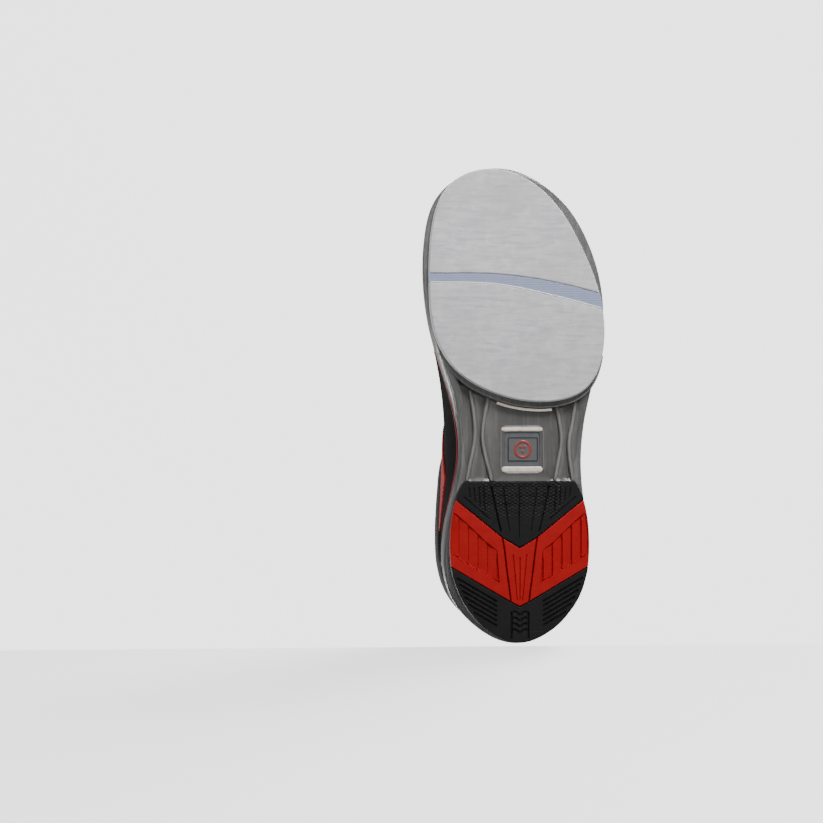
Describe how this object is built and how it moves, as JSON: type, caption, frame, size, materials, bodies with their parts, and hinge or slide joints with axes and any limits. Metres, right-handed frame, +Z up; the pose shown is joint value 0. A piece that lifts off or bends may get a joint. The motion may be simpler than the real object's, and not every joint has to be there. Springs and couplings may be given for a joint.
{
  "type": "bowling shoe",
  "caption": "Left bowling shoe for sliding: clear cup sole with a stiff waist, peel-off slide pad and peel-off heel, laced padded upper.",
  "frame": {"origin": "on the ground, under the middle of the shoe's bounding box", "axes": "+Z up, the toe points to -Y and the heel to +Y, +X is the outer side of the left foot"},
  "size_m": [0.118, 0.3086, 0.12],
  "materials": {
    "slide_microfibre": "napped",
    "flex_strip": "matte",
    "pad_foam": "matte",
    "hook_tape": "matte",
    "loop_fabric": "napped",
    "clear_tpu": "gloss",
    "shank_board": "matte",
    "badge_plastic": "satin",
    "badge_print": "satin",
    "black_rubber": "matte",
    "red_rubber": "satin",
    "eva_foam": "matte",
    "insole_fibreboard": "matte",
    "footbed_foam": "napped",
    "black_mesh": "matte",
    "black_synthetic": "satin",
    "red_synthetic": "satin",
    "piping": "satin",
    "padding_foam": "matte",
    "counter_board": "matte",
    "lining_knit": "matte",
    "eyelet_metal": "satin",
    "lace_webbing": "matte"
  },
  "bodies": {
    "shoe": {"badge_frame": "badge_plastic", "badge_inlay": "badge_print", "collar_padding": "padding_foam", "eyelets": "eyelet_metal", "footbed": "footbed_foam", "forefoot_loop_panel": "loop_fabric", "heel_counter": "counter_board", "heel_cup": "black_synthetic", "heel_loop_panel": "loop_fabric", "heel_pull_tab": "lace_webbing", "insole_board": "insole_fibreboard", "insole_flex_zone": "eva_foam", "lace": "lace_webbing", "lateral_accent": "red_synthetic", "lateral_eyestay": "black_synthetic", "lateral_quarter": "black_synthetic", "lining": "lining_knit", "lining_flex_zone": "lining_knit", "medial_accent": "red_synthetic", "medial_eyestay": "black_synthetic", "medial_quarter": "black_synthetic", "midsole": "eva_foam", "outsole": "clear_tpu", "outsole_flex_zone": "clear_tpu", "piping_flex_zone": "piping", "quarter_padding": "padding_foam", "shank_plate": "shank_board", "sole_piping": "piping", "tongue_cover": "black_synthetic", "tongue_padding": "padding_foam", "vamp": "black_mesh", "vamp_flex_zone": "black_mesh", "vamp_padding_flex_zone": "padding_foam"},
    "toe": {"toe_outsole": "clear_tpu", "toe_loop_panel": "loop_fabric", "toe_midsole": "eva_foam", "toe_insole_board": "insole_fibreboard", "toe_footbed": "footbed_foam", "toe_vamp": "black_mesh", "toe_vamp_padding": "padding_foam", "toe_lining": "lining_knit", "toe_cap": "black_synthetic", "toe_piping": "piping"},
    "slide_pad": {"pad_face": "slide_microfibre", "pad_flex_band": "flex_strip", "pad_backing": "pad_foam", "pad_hook_layer": "hook_tape"},
    "pad_toe": {"pad_toe_face": "slide_microfibre", "pad_toe_backing": "pad_foam", "pad_toe_hook_layer": "hook_tape"},
    "slide_heel": {"heel_hook_layer": "hook_tape", "heel_base": "black_rubber", "heel_tread_front": "black_rubber", "heel_tread_rear": "black_rubber", "heel_tread_red_center": "red_rubber", "heel_tread_red_lateral": "red_rubber", "heel_tread_red_medial": "red_rubber"},
    "tongue_top": {"tongue_top_cover": "black_synthetic", "tongue_top_padding": "padding_foam"}
  },
  "joints": [
    {"name": "toe_flex", "type": "hinge", "parent": "shoe", "child": "toe", "pos_m": [0.0021, -0.0787, 0.011], "axis": [-0.9917, -0.1288, 0], "range_deg": [0, 25], "stiffness_Nm_per_rad": 4, "deforming": ["outsole_flex_zone", "insole_flex_zone", "vamp_flex_zone", "vamp_padding_flex_zone", "lining_flex_zone", "piping_flex_zone"]},
    {"name": "pad_pull", "type": "slide", "parent": "shoe", "child": "slide_pad", "axis": [0, 0, -1], "range_m": [0, 0.03]},
    {"name": "pad_flex", "type": "hinge", "parent": "slide_pad", "child": "pad_toe", "pos_m": [0.0021, -0.0787, 0.011], "axis": [-0.9917, -0.1288, 0], "range_deg": [0, 25]},
    {"name": "heel_pull", "type": "slide", "parent": "shoe", "child": "slide_heel", "axis": [0, 0, -1], "range_m": [0, 0.03]},
    {"name": "tongue_flex", "type": "hinge", "parent": "shoe", "child": "tongue_top", "pos_m": [-0.0019, 0.0223, 0.1062], "axis": [1, 0, 0], "range_deg": [0, 20], "stiffness_Nm_per_rad": 0.2}
  ],
  "couplings": [
    {"joint": "pad_flex", "follows": "toe_flex", "ratio": 1}
  ]
}
